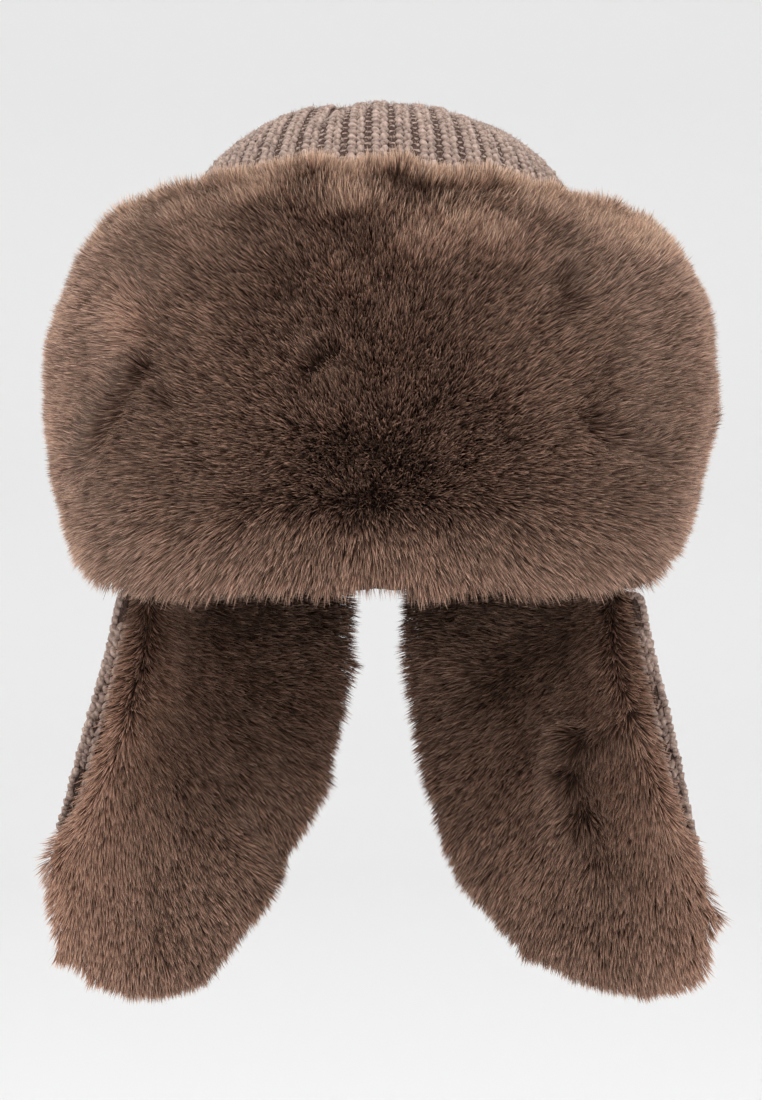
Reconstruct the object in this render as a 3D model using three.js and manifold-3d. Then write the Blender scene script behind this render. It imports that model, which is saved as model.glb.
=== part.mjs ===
// Knitted aviator hat, in millimetres, +Z up, the wearer's face towards -Y.
// A rib-knit crown, a deep-pile band turned up over the forehead, and two long ear flaps,
// rib knit outside and deep pile inside. The origin is the centre of the head opening at the rim.
import * as THREE from "three";
import { mergeVertices } from "three/addons/utils/BufferGeometryUtils.js";
import Module from "manifold-3d";

// Crown
const crownHalfWidth = 110;
const crownHalfDepth = 112;
const crownHeight = 206;
const crownFullness = 2.6; // exponent of the dome's profile, 2 is an ellipse
const knitWall = 4.5;
const ribCount = 64;
const ribDepth = 1.4;
const napeLift = 9; // how far the rim rises over the nape
const napeHalfAngle = 16; // degrees

// Front band
const bandPile = 37;
const bandHalfAngle = 88; // degrees from the middle of the forehead to each end
const bandBottom = 30;
const bandTop = 143;
const bandEndRise = 22; // the lower edge rises towards the rounded ends
const bandEndDrop = 34; // and the upper edge falls
const bandParting = 0.16; // how far up the band its pile parts and flows away all round
const bandUpright = 0.3; // share of the crown's slope that the turned-up band keeps
const bandSwell = 0.12; // extra pile on the end at -X, as a share

// Ear flaps
const flapDrop = 165;
const flapPile = 24;
const flapArc = 81; // degrees of the rim above each flap
const hemWidth = 5; // rolled knit border along each front edge
const hemDepth = 1.5;
const liningRise = 46; // pile facing carried up inside the crown
const liningPile = 13;

// Clearance between one piece and the next
const seamGap = 0.4;

// Mesh fineness
const domeRows = 8;
const innerSegments = 48;
const innerRows = 8;
const flapRows = 8;
const bandColumns = 20;
const bandRows = 10;
const pileColumns = 9;
const pileRows = 13;
const edgeCrowding = 0.6; // share by which the pile's lines crowd towards its edges

const degrees = Math.PI / 180;
const flapRibs = Math.round((ribCount * flapArc) / 360);
const flapSpan = 0.5 * (crownHalfWidth + crownHalfDepth) * flapArc * degrees;
// The flats between the band's corners dip towards the crown by this much.
const widestFlat = ((2 * bandHalfAngle) / bandColumns) * (1 + edgeCrowding * (Math.PI / 2 - 1));
const flatDip = 1.4 * crownHalfDepth * (1 - Math.cos(0.5 * widestFlat * degrees));
const knitColour = 0x9a8176;
const furColour = 0x6f5245;

// Soft creases of the gathered top: where they run, how wide they are and how deep at the middle.
const crownCreases = [
  { azimuth: -34, spread: 13, depth: 0.036 },
  { azimuth: 21, spread: 10, depth: 0.012 },
  { azimuth: 72, spread: 24, depth: 0.045 },
  { azimuth: 122, spread: 14, depth: 0.028 },
  { azimuth: 176, spread: 16, depth: 0.034 },
  { azimuth: -128, spread: 14, depth: 0.026 },
  { azimuth: -82, spread: 15, depth: 0.024 },
];

// Dents in the band's pile: across and up its face from -1 and 0 to 1, with size and depth as
// shares of the band's own width, height and pile.
const bandDents = [
  { across: -0.6, up: 0.7, wide: 0.11, tall: 0.13, depth: 0.2 },
  { across: -0.72, up: 0.44, wide: 0.1, tall: 0.18, depth: 0.26 },
  { across: -0.1, up: 0.54, wide: 0.1, tall: 0.1, depth: 0.1 },
  { across: 0.17, up: 0.88, wide: 0.09, tall: 0.1, depth: 0.2 },
  { across: 0.44, up: 0.68, wide: 0.09, tall: 0.12, depth: 0.22 },
  { across: 0.46, up: 0.96, wide: 0.18, tall: 0.18, depth: 0.16 },
  { across: 0.6, up: 0.4, wide: 0.13, tall: 0.08, depth: 0.2 },
  { across: 0.02, up: 0.18, wide: 0.5, tall: 0.09, depth: 0.1 },
];

// Sections of each flap from the rim down. drop is a share of flapDrop. wide and depth are the
// section's oval, as shares of the crown's half width and half depth. outer and inner are where
// the front edge and the edge beside the nape lie, as shares of the crown's half width.
const leftSections = [
  { drop: 0.0, wide: 1.0, depth: 1.0, outer: 1.0, inner: 0.17 },
  { drop: 0.14, wide: 1.045, depth: 0.97, outer: 1.04, inner: 0.21 },
  { drop: 0.34, wide: 1.14, depth: 0.89, outer: 1.13, inner: 0.28 },
  { drop: 0.55, wide: 1.28, depth: 0.8, outer: 1.22, inner: 0.37 },
  { drop: 0.72, wide: 1.41, depth: 0.74, outer: 1.27, inner: 0.5 },
  { drop: 0.86, wide: 1.47, depth: 0.7, outer: 1.25, inner: 0.64 },
  { drop: 0.95, wide: 1.49, depth: 0.68, outer: 1.14, inner: 0.76 },
  { drop: 1.0, wide: 1.5, depth: 0.67, outer: 1.02, inner: 0.86 },
];
const rightSections = [
  { drop: 0.0, wide: 1.0, depth: 1.0, outer: 1.0, inner: 0.16 },
  { drop: 0.14, wide: 1.045, depth: 0.97, outer: 1.04, inner: 0.2 },
  { drop: 0.34, wide: 1.13, depth: 0.89, outer: 1.12, inner: 0.25 },
  { drop: 0.55, wide: 1.25, depth: 0.8, outer: 1.19, inner: 0.32 },
  { drop: 0.72, wide: 1.39, depth: 0.74, outer: 1.25, inner: 0.44 },
  { drop: 0.86, wide: 1.47, depth: 0.7, outer: 1.27, inner: 0.61 },
  { drop: 0.95, wide: 1.5, depth: 0.68, outer: 1.21, inner: 0.79 },
  { drop: 1.0, wide: 1.51, depth: 0.67, outer: 1.12, inner: 0.92 },
];

// Creases in the flaps' pile: from one point to another, across and down the facing as shares.
const leftCreases = [
  { fromAcross: 0.2, fromDown: 0.32, toAcross: 0.3, toDown: 0.62, wide: 0.09, depth: 0.12 },
  { fromAcross: 0.62, fromDown: 0.72, toAcross: 0.66, toDown: 0.8, wide: 0.1, depth: 0.14 },
];
const rightCreases = [
  { fromAcross: 0.06, fromDown: 0.42, toAcross: 0.3, toDown: 0.52, wide: 0.08, depth: 0.3 },
  { fromAcross: 0.3, fromDown: 0.52, toAcross: 0.36, toDown: 0.78, wide: 0.08, depth: 0.28 },
];

const wasm = await Module();
wasm.setup();

const clamp01 = THREE.MathUtils.clamp;
const smooth = THREE.MathUtils.smoothstep;
const mix = THREE.MathUtils.lerp;
const hill = (x) => Math.exp(-x * x);

// A repeatable number from 0 to 1 for each whole number, so that the locks don't stand in line.
function scatter(seed) {
  const wave = Math.sin(seed * 127.1 + 11.7) * 43758.5453;
  return wave - Math.floor(wave);
}

// Joins a closed geometry's shared vertices and makes it a solid.
function solidFrom(geometry) {
  const bare = geometry.clone();
  bare.deleteAttribute("normal");
  bare.deleteAttribute("uv");
  const merged = mergeVertices(bare, 1e-3);
  return new wasm.Manifold(
    new wasm.Mesh({
      numProp: 3,
      vertProperties: merged.attributes.position.array,
      triVerts: new Uint32Array(merged.index.array),
    }),
  );
}

function geometryFrom(solid) {
  const mesh = solid.getMesh();
  return new THREE.BufferGeometry()
    .setAttribute("position", new THREE.BufferAttribute(mesh.vertProperties, 3))
    .setIndex(new THREE.BufferAttribute(mesh.triVerts, 1));
}

// Moves each vertex of a geometry to place(x, y, z).
function reshape(geometry, place) {
  const spots = geometry.attributes.position;
  for (let i = 0; i < spots.count; i++) {
    const spot = place(spots.getX(i), spots.getY(i), spots.getZ(i));
    spots.setXYZ(i, spot.x, spot.y, spot.z);
  }
  return geometry;
}

// A block of across, down and layers from 0 to 1, bent by place(u, v, w).
function bentBlock(columns, rows, place) {
  const block = new THREE.BoxGeometry(1, 1, 1, columns, rows, 1);
  return solidFrom(reshape(block, (x, y, z) => place(x + 0.5, y + 0.5, z + 0.5)));
}

function normalOf(surface, u, v) {
  const step = 1e-3;
  const across = surface(u + step, v).sub(surface(u - step, v));
  const along = surface(u, v + step).sub(surface(u, v - step));
  return across.cross(along).normalize();
}

function tangentOf(surface, u, v, alongV) {
  const step = 1e-3;
  const ahead = alongV ? surface(u, v + step) : surface(u + step, v);
  const behind = alongV ? surface(u, v - step) : surface(u - step, v);
  return ahead.sub(behind).normalize();
}

// Crown. Azimuth 0 is the middle of the forehead and grows towards +X.
const domeShare = (height, top) =>
  Math.max(0, 1 - Math.abs(height / top) ** crownFullness) ** (1 / crownFullness);

function domePoint(azimuth, height, inset = 0) {
  const share = domeShare(height, crownHeight - inset);
  return new THREE.Vector3(
    (crownHalfWidth - inset) * share * Math.sin(azimuth),
    -(crownHalfDepth - inset) * share * Math.cos(azimuth),
    height,
  );
}

function angleBetween(a, b) {
  return Math.abs(((a - b + 540) % 360) - 180);
}

// How far the gathered top is drawn in: a dimple at the centre and creases running out of it.
function gatherDepth(azimuth, share) {
  const nearTop = smooth(1 - share, 0.35, 0.92);
  const creases = crownCreases.reduce(
    (sum, c) => sum + c.depth * hill(angleBetween(azimuth / degrees, c.azimuth) / c.spread),
    0,
  );
  const dimple = 0.03 * smooth(1 - share, 0.8, 1);
  return crownHeight * (nearTop * creases * smooth(share, 0, 0.25) + dimple);
}

const rimRise = (azimuth) =>
  napeLift * hill(angleBetween(azimuth / degrees, 180) / napeHalfAngle);

// A solid dome from a profile turned round the axis, then drawn out to an oval with its ribs.
function dome(inset, segments, rows, ribs, foot) {
  const power = 2 / crownFullness;
  const ring = (row) => {
    const turn = (row / rows) * 90 * degrees;
    return new THREE.Vector2(Math.cos(turn) ** power, Math.sin(turn) ** power);
  };
  const profile = [new THREE.Vector2(0, -foot), new THREE.Vector2(1, -foot)];
  if (foot) profile.push(ring(0), ring(0.4)); // a close ring where the pile facing lies inside
  for (let row = 1; row < rows; row++) profile.push(ring(row));
  profile.push(new THREE.Vector2(0, 1));
  const turned = new THREE.LatheGeometry(profile, segments);
  return solidFrom(
    reshape(turned, (x, y, z) => {
      const share = Math.hypot(x, z);
      const azimuth = Math.atan2(x, z);
      const ripple = ribs ? 0.5 * ribDepth * (Math.cos(ribs * azimuth) - 1) : 0;
      const fade = smooth(share, 0.03, 0.3);
      const height = y > 0 ? y * (crownHeight - inset) : y;
      const rise = rimRise(azimuth) * (1 - clamp01(y, 0, 1)) ** 2;
      return new THREE.Vector3(
        ((crownHalfWidth - inset) * share + ripple * fade) * Math.sin(azimuth),
        -((crownHalfDepth - inset) * share + ripple * fade) * Math.cos(azimuth),
        height + (y >= 0 ? rise * share : 0) - (y > 0 ? gatherDepth(azimuth, share) : 0),
      );
    }),
  );
}

function makeCrown() {
  const outside = dome(0, 2 * ribCount, domeRows, ribCount, 0);
  const hollow = dome(knitWall, innerSegments, innerRows, 0, 5 * knitWall);
  return geometryFrom(outside.subtract(hollow));
}

// Pile. A patch of fabric has its pile standing on it, which fans outwards at the edges.
// fan gives how far the pile leans over across and along the patch, as the leaning's tangent.
function pileDirection(patch, u, v) {
  const lean = patch.fan(u, v);
  const upright = normalOf(patch.surface, u, v);
  upright.setZ(upright.z * patch.upright).normalize();
  return upright
    .addScaledVector(tangentOf(patch.surface, u, v, false), lean.across)
    .addScaledVector(tangentOf(patch.surface, u, v, true), lean.along)
    .normalize();
}

function pilePoint(patch, u, v, w) {
  const root = patch.surface(u, v).addScaledVector(normalOf(patch.surface, u, v), patch.gap);
  const length = patch.pile(u, v) * (1 - patch.dents(u, v));
  return root.addScaledVector(pileDirection(patch, u, v), w * length);
}

// One flattened lock of pile, pointed at both ends, lying along the pile's flow.
function makeLock(patch, u, v, seed) {
  const flow = patch.flow(u, v);
  const comb = tangentOf(patch.surface, u, v, false)
    .multiplyScalar(flow.across)
    .addScaledVector(tangentOf(patch.surface, u, v, true), flow.along)
    .normalize()
    .multiplyScalar(patch.lockLean * (0.7 + 0.6 * scatter(seed)));
  const root = pilePoint(patch, u, v, patch.lockRoot).addScaledVector(comb, -0.5);
  const tip = pilePoint(patch, u, v, 0.94 + 0.08 * scatter(seed + 0.3)).addScaledVector(comb, 0.6);
  const length = root.distanceTo(tip);
  const along = tip.sub(root).normalize();
  const sideways = along.clone().cross(pileDirection(patch, u, v)).normalize();
  const width = patch.lockWidth * (0.85 + 0.3 * scatter(seed + 0.6));
  const lock = new THREE.OctahedronGeometry(1)
    .scale(width, length / 2, patch.lockThickness)
    .translate(0, length / 2, 0)
    .applyMatrix4(new THREE.Matrix4().makeBasis(sideways, along, sideways.clone().cross(along)))
    .translate(root.x, root.y, root.z);
  return solidFrom(lock);
}

// The pile's body with staggered rows of locks fused to it.
function makePelt(patch) {
  const ease = (x) => 0.5 - 0.5 * Math.cos(Math.PI * clamp01(x, 0, 1));
  const even = (x) => mix(x, ease(x), edgeCrowding); // closer lines where the pile turns over
  const body = bentBlock(patch.columns, patch.rows, (u, v, w) =>
    pilePoint(patch, even(u), even(v), w * patch.bodyShare),
  );
  const locks = [];
  for (let row = 0; row < patch.lockRows; row++) {
    for (let column = 0; column < patch.lockColumns; column++) {
      const seed = row * 61 + column * 7 + patch.seed;
      const stagger = row % 2 ? 0.75 : 0.25;
      const u = (column + stagger + 0.3 * (scatter(seed) - 0.5)) / patch.lockColumns;
      const v = (row + 0.5 + 0.3 * (scatter(seed + 0.5) - 0.5)) / patch.lockRows;
      locks.push(makeLock(patch, mix(0.02, 0.98, even(u)), mix(0.05, 0.96, even(v)), seed));
    }
  }
  return geometryFrom(wasm.Manifold.union([body, ...locks]));
}

// Leaning that is nothing over the middle of a patch and grows to lean at its two edges.
const edgeLean = (x, low, high, reach) =>
  high * smooth(x, 1 - reach, 1) ** 1.5 - low * (1 - smooth(x, 0, reach)) ** 1.5;

// Front band, on the outside of the crown. across runs from one end to the other and up from
// the lower edge to the upper one.
function bandSurface(u, v) {
  const across = 2 * u - 1;
  const low = bandBottom + bandEndRise * Math.abs(across) ** 4;
  const high = bandTop - bandEndDrop * Math.abs(across) ** 3;
  return domePoint(across * bandHalfAngle * degrees, mix(low, high, v));
}

function bandDent(u, v) {
  return bandDents.reduce(
    (sum, d) =>
      sum + d.depth * hill((2 * u - 1 - d.across) / d.wide) * hill((v - d.up) / d.tall),
    0,
  );
}

// The pile is fullest a little above the middle, and one end is fuller than the other.
function bandPileLength(u, v) {
  return bandPile * (0.94 + 0.14 * hill((v - 0.62) / 0.34) + bandSwell * hill(u / 0.2));
}

const bandPatch = {
  surface: bandSurface,
  upright: bandUpright,
  pile: bandPileLength,
  fan: (u, v) => ({
    across: edgeLean(u, 2.2, 2.2, 0.16),
    along: edgeLean(v, 3.2, 1.5, 0.42),
  }),
  flow: (u, v) => ({ across: 2.4 * (u - 0.5), along: v - bandParting }),
  dents: bandDent,
  gap: seamGap + flatDip,
  columns: bandColumns,
  rows: bandRows,
  bodyShare: 0.9,
  lockRows: 7,
  lockColumns: 12,
  lockRoot: 0.7,
  lockWidth: 10,
  lockThickness: 4.5,
  lockLean: 26,
  seed: 8,
};

// Ear flaps. side is -1 for the flap on -X and 1 for the one on +X.
function sectionTable(sections) {
  const keys = ["wide", "depth", "outer", "inner"];
  const table = new THREE.CubicInterpolant(
    sections.map((s) => s.drop),
    sections.flatMap((s) => keys.map((key) => s[key])),
    keys.length,
    new Float64Array(keys.length),
  );
  return (drop) => {
    const [wide, depth, outer, inner] = table.evaluate(clamp01(drop, 0, 1));
    return {
      halfWidth: wide * crownHalfWidth,
      halfDepth: depth * crownHalfDepth,
      from: Math.acos(Math.min(1, outer / wide)),
      to: Math.acos(inner / wide),
    };
  };
}

// A flap's outer face. across is 0 at the front edge and 1 at the edge beside the nape, and
// height is 0 at the rim. Above the rim it follows the crown, as the pile facing does.
function flapPoint(side, sectionAt, across, height) {
  const row = sectionAt(Math.max(0, -height) / flapDrop);
  const share = height > 0 ? domeShare(height, crownHeight) : 1;
  const turn = mix(row.from, row.to, across);
  return new THREE.Vector3(
    side * row.halfWidth * share * Math.cos(turn),
    row.halfDepth * share * Math.sin(turn),
    height,
  );
}

// The height of the crown's rim above a place across a flap's top edge.
const rimHeight = (sectionAt, across) =>
  rimRise(90 * degrees + across * sectionAt(0).to) - seamGap;

// The rolled hem is plain down to where the pile spills over it.
const hemFade = (down) => 1 - smooth(down, 0.42, 0.6);

function makeFlapKnit(side, sections) {
  const sectionAt = sectionTable(sections);
  // u runs the way that keeps the block's faces outwards on both sides.
  const acrossAt = (u) => (side > 0 ? u : 1 - u);
  const outline = (u, v) => {
    const height = mix(-flapDrop, rimHeight(sectionAt, acrossAt(u)), v);
    return flapPoint(side, sectionAt, acrossAt(u), height);
  };
  return geometryFrom(
    bentBlock(2 * flapRibs, flapRows, (u, v, w) => {
      const outwards = normalOf(outline, u, v).setZ(0).normalize();
      const rib = 0.5 * ribDepth * (Math.cos(2 * Math.PI * flapRibs * acrossAt(u)) - 1);
      const border = 1 - smooth(acrossAt(u) * flapSpan, 0.4 * hemWidth, hemWidth);
      const hem = hemDepth * border * hemFade(1 - v);
      return outline(u, v).addScaledVector(outwards, w > 0.5 ? rib : -knitWall - hem);
    }),
  );
}

function creaseDepth(creases, across, down) {
  return creases.reduce((sum, c) => {
    const from = new THREE.Vector3(c.fromAcross, c.fromDown, 0);
    const to = new THREE.Vector3(c.toAcross, c.toDown, 0);
    const spot = new THREE.Vector3(across, down, 0);
    const nearest = new THREE.Line3(from, to).closestPointToPoint(spot, true, new THREE.Vector3());
    return Math.max(sum, c.depth * hill(nearest.distanceTo(spot) / c.wide));
  }, 0);
}

function makeFlapPile(side, sections, creases, seed) {
  const sectionAt = sectionTable(sections);
  const heightAt = (v) => mix(-flapDrop + 7, liningRise, v);
  const downAt = (v) => clamp01(-heightAt(v) / flapDrop, 0, 1);
  const borderAt = (v) => ((hemWidth + 1) / flapSpan) * hemFade(downAt(v));
  const acrossAt = (u, v) => mix(borderAt(v), 0.985, side > 0 ? 1 - u : u);
  const outside = (u, v) => flapPoint(side, sectionAt, acrossAt(u, v), heightAt(v));
  const inwards = (u, v) => normalOf(outside, u, v).setZ(0).normalize();
  const patch = {
    surface: (u, v) => outside(u, v).addScaledVector(inwards(u, v), knitWall),
    pile: (u, v) => mix(liningPile, flapPile, smooth(downAt(v), -0.05, 0.25)),
    fan: (u, v) => {
      const down = downAt(v);
      const front = mix(1, 2.8, smooth(down, 0.48, 0.72));
      const back = mix(0.8, 1.5, smooth(down, 0, 0.3));
      const across = side > 0 ? edgeLean(u, back, front, 0.3) : edgeLean(u, front, back, 0.3);
      return { across, along: edgeLean(v, 2.4, 0.8, 0.2) };
    },
    flow: (u, v) => ({ across: 1.2 * (u - (side > 0 ? 0.6 : 0.4)), along: -1 }),
    upright: 1,
    dents: (u, v) => creaseDepth(creases, side > 0 ? 1 - u : u, downAt(v)),
    gap: 2.3 * seamGap,
    columns: pileColumns,
    rows: pileRows,
    bodyShare: 0.86,
    lockRows: 9,
    lockColumns: 4,
    lockRoot: 0.7,
    lockWidth: 8,
    lockThickness: 3.6,
    lockLean: 20,
    seed,
  };
  return makePelt(patch);
}

function part(name, geometry, color, roughness) {
  const finish = new THREE.MeshStandardMaterial({ color, roughness, metalness: 0 });
  const mesh = new THREE.Mesh(geometry, finish);
  mesh.name = name;
  return mesh;
}

const hat = new THREE.Group();
hat.name = "knitted_aviator_hat";
hat.add(part("crown", makeCrown(), knitColour, 0.95));
hat.add(part("front_band", makePelt(bandPatch), furColour, 0.9));
hat.add(part("flap_knit_left", makeFlapKnit(-1, leftSections), knitColour, 0.95));
hat.add(part("flap_knit_right", makeFlapKnit(1, rightSections), knitColour, 0.95));
hat.add(part("flap_fur_left", makeFlapPile(-1, leftSections, leftCreases, 5), furColour, 0.9));
hat.add(part("flap_fur_right", makeFlapPile(1, rightSections, rightCreases, 9), furColour, 0.9));

export default hat;
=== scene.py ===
import math

import bmesh
import bpy
from mathutils import Matrix, Vector
from mathutils.bvhtree import BVHTree


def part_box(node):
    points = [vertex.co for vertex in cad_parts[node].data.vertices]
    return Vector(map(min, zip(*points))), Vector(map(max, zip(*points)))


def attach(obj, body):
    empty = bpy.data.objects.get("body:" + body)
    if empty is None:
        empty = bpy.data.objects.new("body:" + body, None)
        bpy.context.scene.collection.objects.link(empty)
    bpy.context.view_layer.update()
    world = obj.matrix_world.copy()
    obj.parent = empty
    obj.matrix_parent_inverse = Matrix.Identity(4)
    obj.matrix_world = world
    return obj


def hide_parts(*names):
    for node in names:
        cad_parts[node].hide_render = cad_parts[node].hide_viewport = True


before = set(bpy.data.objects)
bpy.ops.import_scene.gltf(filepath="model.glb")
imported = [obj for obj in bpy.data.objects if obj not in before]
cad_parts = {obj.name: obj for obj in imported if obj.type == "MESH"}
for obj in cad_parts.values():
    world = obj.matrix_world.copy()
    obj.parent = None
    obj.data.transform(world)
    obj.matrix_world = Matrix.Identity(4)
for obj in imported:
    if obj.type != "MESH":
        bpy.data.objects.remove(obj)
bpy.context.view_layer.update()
print("frame loaded")

mergeDistance = 1e-5  # corners nearer than this become one
tiny = 1e-9  # a length that counts as none


def linear(r, g, b):
    # a colour picked on screen, 0 to 255, in the values that shaders take
    return tuple(((c / 255 + 0.055) / 1.055) ** 2.4 for c in (r, g, b)) + (1.0,)


def newObject(name, mesh, material):
    obj = bpy.data.objects.new(name, mesh)
    bpy.context.scene.collection.objects.link(obj)
    obj.data.materials.clear()
    obj.data.materials.append(material)
    return obj


def objectFrom(name, bm, material):
    mesh = bpy.data.meshes.new(name)
    bm.to_mesh(mesh)
    bm.free()
    return newObject(name, mesh, material)


def applyModifiers(obj):
    graph = bpy.context.evaluated_depsgraph_get()
    mesh = bpy.data.meshes.new_from_object(obj.evaluated_get(graph))
    old = obj.data
    obj.modifiers.clear()
    obj.data = mesh
    bpy.data.meshes.remove(old)
    obj.data.name = obj.name


def triangles(obj):
    return sum(len(face.vertices) - 2 for face in obj.data.polygons)


def mergedCopy(node):
    bm = bmesh.new()
    bm.from_mesh(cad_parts[node].data)
    bmesh.ops.remove_doubles(bm, verts=bm.verts, dist=mergeDistance)
    return bm


def smoothBody(bm):
    bmesh.ops.smooth_vert(
        bm, verts=bm.verts, factor=0.5, use_axis_x=True, use_axis_y=True, use_axis_z=True)


def finishPiece(obj, slotName, *nodes):
    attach(obj, "root")
    if nodes:
        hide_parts(*nodes)


# short ways to write a node tree
def link(tree, a, b):
    tree.links.new(a, b)


def addNode(tree, kind, **settings):
    node = tree.nodes.new(kind)
    for key, value in settings.items():
        setattr(node, key, value)
    return node


def plug(tree, socket, value):
    # a number or vector goes on the socket, anything else is linked to it
    if isinstance(value, (int, float, tuple, Vector)):
        socket.default_value = value
    else:
        link(tree, value, socket)


def maths(tree, operation, a, b=0.0, c=0.0):
    node = addNode(tree, "ShaderNodeMath", operation=operation)
    for socket, value in zip(node.inputs, (a, b, c)):
        plug(tree, socket, value)
    return node.outputs[0]


def vectors(tree, operation, a, b=None, scale=None):
    node = addNode(tree, "ShaderNodeVectorMath", operation=operation)
    plug(tree, node.inputs[0], a)
    if b is not None:
        plug(tree, node.inputs[1], b)
    if scale is not None:
        plug(tree, node.inputs["Scale"], scale)
    return node.outputs[0]


def combine(tree, x, y, z):
    node = addNode(tree, "ShaderNodeCombineXYZ")
    for socket, value in zip(node.inputs, (x, y, z)):
        plug(tree, socket, value)
    return node.outputs[0]


def attribute(tree, name, kind="FLOAT"):
    node = addNode(tree, "GeometryNodeInputNamedAttribute", data_type=kind)
    node.inputs["Name"].default_value = name
    return node.outputs["Attribute"]


def stored(tree, geometry, name, value, kind="FLOAT", domain="POINT"):
    node = addNode(tree, "GeometryNodeStoreNamedAttribute", data_type=kind, domain=domain)
    node.inputs["Name"].default_value = name
    link(tree, geometry, node.inputs["Geometry"])
    link(tree, value, node.inputs["Value"])
    return node.outputs["Geometry"]


def jitter(tree, seed, low, high):
    node = addNode(tree, "FunctionNodeRandomValue", data_type="FLOAT")
    node.inputs[2].default_value = low
    node.inputs[3].default_value = high
    node.inputs["Seed"].default_value = seed
    return node.outputs[1]


def jitters(tree, seed, reach):
    return combine(tree, *(jitter(tree, seed + k, -reach, reach) for k in range(3)))


def planted(tree, points, shape, primary, secondary, size, material):
    # stands a copy of a small object on every point, its Z or Y turned as primary says
    (firstAxis, first), (secondAxis, second) = primary, secondary
    turn = addNode(
        tree, "FunctionNodeAxesToRotation", primary_axis=firstAxis, secondary_axis=secondAxis)
    link(tree, first, turn.inputs["Primary Axis"])
    link(tree, second, turn.inputs["Secondary Axis"])
    info = addNode(tree, "GeometryNodeObjectInfo")
    info.inputs["Object"].default_value = shape
    place = addNode(tree, "GeometryNodeInstanceOnPoints")
    link(tree, points, place.inputs["Points"])
    link(tree, info.outputs["Geometry"], place.inputs["Instance"])
    link(tree, turn.outputs[0], place.inputs["Rotation"])
    link(tree, size, place.inputs["Scale"])
    real = addNode(tree, "GeometryNodeRealizeInstances")
    link(tree, place.outputs[0], real.inputs[0])
    dress = addNode(tree, "GeometryNodeSetMaterial")
    dress.inputs["Material"].default_value = material
    link(tree, real.outputs[0], dress.inputs["Geometry"])
    return dress.outputs[0]


def newGeometryTree(name):
    tree = bpy.data.node_groups.new(name, "GeometryNodeTree")
    tree.interface.new_socket("Geometry", in_out="INPUT", socket_type="NodeSocketGeometry")
    tree.interface.new_socket("Geometry", in_out="OUTPUT", socket_type="NodeSocketGeometry")
    start = addNode(tree, "NodeGroupInput").outputs[0]
    end = addNode(tree, "NodeGroupOutput").inputs[0]
    return tree, start, end


def runTree(obj, tree, spare=()):
    # applies a tree and drops the attributes that only it needed
    modifier = obj.modifiers.new(tree.name, "NODES")
    modifier.node_group = tree
    applyModifiers(obj)
    for name in spare:
        if name in obj.data.attributes:
            obj.data.attributes.remove(obj.data.attributes[name])


def fibreGroup():
    # fine fuzz and a broad blotch from any map
    group = bpy.data.node_groups.new("fibres", "ShaderNodeTree")
    sockets = group.interface
    sockets.new_socket("Vector", in_out="INPUT", socket_type="NodeSocketVector")
    sockets.new_socket("Scale", in_out="INPUT", socket_type="NodeSocketFloat").default_value = 1
    sockets.new_socket("Fuzz", in_out="OUTPUT", socket_type="NodeSocketFloat")
    sockets.new_socket("Blotch", in_out="OUTPUT", socket_type="NodeSocketFloat")
    inside = addNode(group, "NodeGroupInput")
    outside = addNode(group, "NodeGroupOutput")
    sized = vectors(group, "SCALE", inside.outputs["Vector"], scale=inside.outputs["Scale"])
    for output, scale, detail in (("Fuzz", 1.0, 4), ("Blotch", 0.06, 2)):
        noise = addNode(group, "ShaderNodeTexNoise")
        noise.inputs["Scale"].default_value = scale
        noise.inputs["Detail"].default_value = detail
        link(group, sized, noise.inputs["Vector"])
        link(group, noise.outputs["Fac"], outside.inputs[output])
    return group


def plainMaterial(name, roughness, specular):
    material = bpy.data.materials.new(name)
    material.use_nodes = True
    shader = material.node_tree.nodes["Principled BSDF"]
    shader.inputs["Roughness"].default_value = roughness
    shader.inputs["Specular IOR Level"].default_value = specular
    return material, material.node_tree, shader


def rampNode(tree, value, stops):
    # stops are position and colour
    ramp = addNode(tree, "ShaderNodeValToRGB")
    elements = ramp.color_ramp.elements
    elements[0].position, elements[0].color = stops[0]
    elements[1].position, elements[1].color = stops[-1]
    for position, colour in stops[1:-1]:
        elements.new(position).color = colour
    link(tree, value, ramp.inputs["Fac"])
    return ramp.outputs["Color"]


def multiplied(tree, a, b):
    mix = addNode(tree, "ShaderNodeMix", data_type="RGBA", blend_type="MULTIPLY")
    mix.inputs["Factor"].default_value = 1
    link(tree, a, mix.inputs["A"])
    link(tree, b, mix.inputs["B"])
    return mix.outputs["Result"]


def bumped(tree, shader, height, strength, distance):
    relief = addNode(tree, "ShaderNodeBump")
    relief.inputs["Strength"].default_value = strength
    relief.inputs["Distance"].default_value = distance
    link(tree, height, relief.inputs["Height"])
    link(tree, relief.outputs["Normal"], shader.inputs["Normal"])


# darkAt and lightAt are the shades that get the two colours
yarnLook = {
    "dark": linear(100, 82, 74), "light": linear(200, 175, 162), "darkAt": 0.35, "lightAt": 0.8,
    "roughness": 0.95, "specular": 0.12, "sheen": 0.15,
    "fuzzScale": 110, "aroundPlies": 210, "alongPlies": 150, "wobble": 3.5,
    "fuzzShare": 0.5, "blotchShare": 0.5, "plyShare": 0.18,
    "bump": 0.45, "bumpDepth": 0.0006, "plyBump": 0.4,
}


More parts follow.
